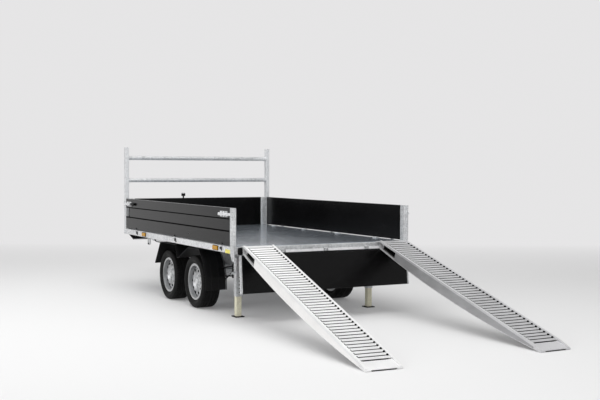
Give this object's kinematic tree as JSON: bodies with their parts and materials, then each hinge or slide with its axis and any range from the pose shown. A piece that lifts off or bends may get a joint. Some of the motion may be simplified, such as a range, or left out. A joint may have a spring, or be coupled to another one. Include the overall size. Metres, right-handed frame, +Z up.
{
  "type": "tandem-axle tipping trailer",
  "caption": "Flatbed tipping trailer with drop sides, hanging tailgate, ladder rack, prop stands and a pair of loading ramps, parked on its jockey wheel.",
  "frame": {"origin": "floor level, under the middle of the whole outline with the ramps laid out behind", "axes": "+X towards the coupling, +Y to the trailer's left, +Z up"},
  "size_m": [7.0676, 1.9606, 1.643],
  "materials": {
    "galvanised": "hot-dip galvanised, satin",
    "deck_steel": "galvanised sheet, slightly glossy",
    "black_steel": "black coated steel, satin",
    "black_plastic": "moulded, matt",
    "tyre_rubber": "matt",
    "wheel_silver": "silver lacquer",
    "ramp_aluminium": "mill finish",
    "leg_zinc": "yellow zinc",
    "amber": "clear amber lens",
    "lamp_red": "clear red lens",
    "ram_steel": "black lacquer",
    "ram_chrome": "polished",
    "rubber": "matt"
  },
  "bodies": {
    "chassis": {"chassis_rails": "galvanised", "chassis_crossmembers": "galvanised", "rear_crossmember": "galvanised", "ram_cradle": "galvanised", "drawbar_beams": "galvanised", "coupling_head": "galvanised", "jockey_outer": "galvanised", "mudguard_left": "black_plastic", "mudguard_right": "black_plastic", "stand_sleeves": "galvanised", "rear_lamps": "lamp_red", "pump_box": "black_plastic", "axle_front": "galvanised", "axle_rear": "galvanised"},
    "bed": {"bed_side_rails": "galvanised", "bed_end_beams": "galvanised", "hinge_lugs": "galvanised", "bed_crossmembers": "galvanised", "bed_longitudinals": "galvanised", "ram_bracket": "galvanised", "deck_plate": "deck_steel", "headboard": "black_steel", "corner_posts": "galvanised", "corner_buffers": "black_plastic", "rack_posts": "galvanised", "rack_rails": "galvanised", "front_valance": "black_plastic", "side_markers": "amber", "lashing_rings": "galvanised"},
    "side_left": {"side_board_left": "black_steel", "side_fittings_left": "galvanised"},
    "side_right": {"side_board_right": "black_steel", "side_fittings_right": "galvanised"},
    "gate": {"tailgate": "black_steel", "tailgate_lip": "black_steel", "tailgate_fittings": "galvanised"},
    "ramp_left": {"ramp_left": "ramp_aluminium", "ramp_tongue_left": "ramp_aluminium"},
    "ramp_right": {"ramp_right": "ramp_aluminium", "ramp_tongue_right": "ramp_aluminium"},
    "leg_left": {"stand_leg_left": "leg_zinc"},
    "leg_right": {"stand_leg_right": "leg_zinc"},
    "jockey_leg": {"jockey_tube": "galvanised"},
    "jockey_castor": {"jockey_fork": "galvanised"},
    "jockey_roller": {"jockey_wheel": "rubber"},
    "ram_barrel": {"ram_barrel": "ram_steel"},
    "ram_stage_1": {"ram_stage_1": "ram_chrome"},
    "ram_stage_2": {"ram_stage_2": "ram_chrome"},
    "ram_rod": {"ram_rod": "ram_chrome"},
    "wheel_front_left": {"tyre_front_left": "tyre_rubber", "rim_front_left": "wheel_silver"},
    "wheel_front_right": {"tyre_front_right": "tyre_rubber", "rim_front_right": "wheel_silver"},
    "wheel_rear_left": {"tyre_rear_left": "tyre_rubber", "rim_rear_left": "wheel_silver"},
    "wheel_rear_right": {"tyre_rear_right": "tyre_rubber", "rim_rear_right": "wheel_silver"}
  },
  "joints": [
    {"name": "bed_tip", "type": "hinge", "parent": "chassis", "child": "bed", "pos_m": [-0.86119, -0.01134, 0.6], "axis": [0, -1, 0], "range_deg": [0, 45]},
    {"name": "side_left_drop", "type": "hinge", "parent": "bed", "child": "side_left", "pos_m": [0.33881, 0.93566, 0.683], "axis": [-1, 0, 0], "range_deg": [0, 178]},
    {"name": "side_right_drop", "type": "hinge", "parent": "bed", "child": "side_right", "pos_m": [0.33881, -0.95834, 0.683], "axis": [1, 0, 0], "range_deg": [0, 178]},
    {"name": "tailgate_swing", "type": "hinge", "parent": "bed", "child": "gate", "pos_m": [-1.21419, -0.01134, 0.655], "axis": [0, 1, 0], "range_deg": [0, 175]},
    {"name": "ram_swing", "type": "hinge", "parent": "chassis", "child": "ram_barrel", "pos_m": [0.25881, -0.01134, 0.35], "axis": [0, -1, 0], "range_deg": [0, 64.9]},
    {"name": "ram_slide_1", "type": "slide", "parent": "ram_barrel", "child": "ram_stage_1", "axis": [0.925, 0, 0.3799], "range_m": [0, 0.2756]},
    {"name": "ram_slide_2", "type": "slide", "parent": "ram_stage_1", "child": "ram_stage_2", "axis": [0.925, 0, 0.3799], "range_m": [0, 0.2756]},
    {"name": "ram_slide_3", "type": "slide", "parent": "ram_stage_2", "child": "ram_rod", "axis": [0.925, 0, 0.3799], "range_m": [0, 0.2756]},
    {"name": "ramp_left_turn", "type": "hinge", "parent": "chassis", "child": "ramp_left", "pos_m": [-3.5185, 0.83018, 0.007], "axis": [-0.0555, -0.9985, 0], "range_deg": [0, 163]},
    {"name": "ramp_right_turn", "type": "hinge", "parent": "chassis", "child": "ramp_right", "pos_m": [-3.51848, -0.73738, 0.007], "axis": [-0.0048, -1, 0], "range_deg": [0, 163]},
    {"name": "leg_left_slide", "type": "slide", "parent": "chassis", "child": "leg_left", "axis": [0, 0, 1], "range_m": [0, 0.175]},
    {"name": "leg_right_slide", "type": "slide", "parent": "chassis", "child": "leg_right", "axis": [0, 0, 1], "range_m": [0, 0.175]},
    {"name": "jockey_lift", "type": "slide", "parent": "chassis", "child": "jockey_leg", "axis": [0, 0, 1], "range_m": [0, 0.18]},
    {"name": "jockey_swivel", "type": "hinge", "parent": "jockey_leg", "child": "jockey_castor", "pos_m": [2.83881, -0.20334, 0.236], "axis": [0, 0, 1], "continuous": true},
    {"name": "jockey_spin", "type": "hinge", "parent": "jockey_castor", "child": "jockey_roller", "pos_m": [2.79881, -0.20334, 0.1], "axis": [0, 1, 0], "continuous": true},
    {"name": "wheel_front_left_spin", "type": "hinge", "parent": "chassis", "child": "wheel_front_left", "pos_m": [0.65681, 0.76866, 0.2625], "axis": [0, 1, 0], "continuous": true},
    {"name": "wheel_front_right_spin", "type": "hinge", "parent": "chassis", "child": "wheel_front_right", "pos_m": [0.65681, -0.79134, 0.2625], "axis": [0, 1, 0], "continuous": true},
    {"name": "wheel_rear_left_spin", "type": "hinge", "parent": "chassis", "child": "wheel_rear_left", "pos_m": [-0.07819, 0.76866, 0.2625], "axis": [0, 1, 0], "continuous": true},
    {"name": "wheel_rear_right_spin", "type": "hinge", "parent": "chassis", "child": "wheel_rear_right", "pos_m": [-0.07819, -0.79134, 0.2625], "axis": [0, 1, 0], "continuous": true}
  ],
  "couplings": [
    {"joint": "ram_swing", "follows": "bed_tip", "ratio": 1.4305},
    {"joint": "ram_slide_1", "follows": "bed_tip", "m_per_rad": 0.34835},
    {"joint": "ram_slide_2", "follows": "bed_tip", "m_per_rad": 0.34835},
    {"joint": "ram_slide_3", "follows": "bed_tip", "m_per_rad": 0.34835},
    {"joint": "ramp_left_turn", "follows": "tailgate_swing", "ratio": 0.93},
    {"joint": "ramp_right_turn", "follows": "tailgate_swing", "ratio": 0.93}
  ]
}
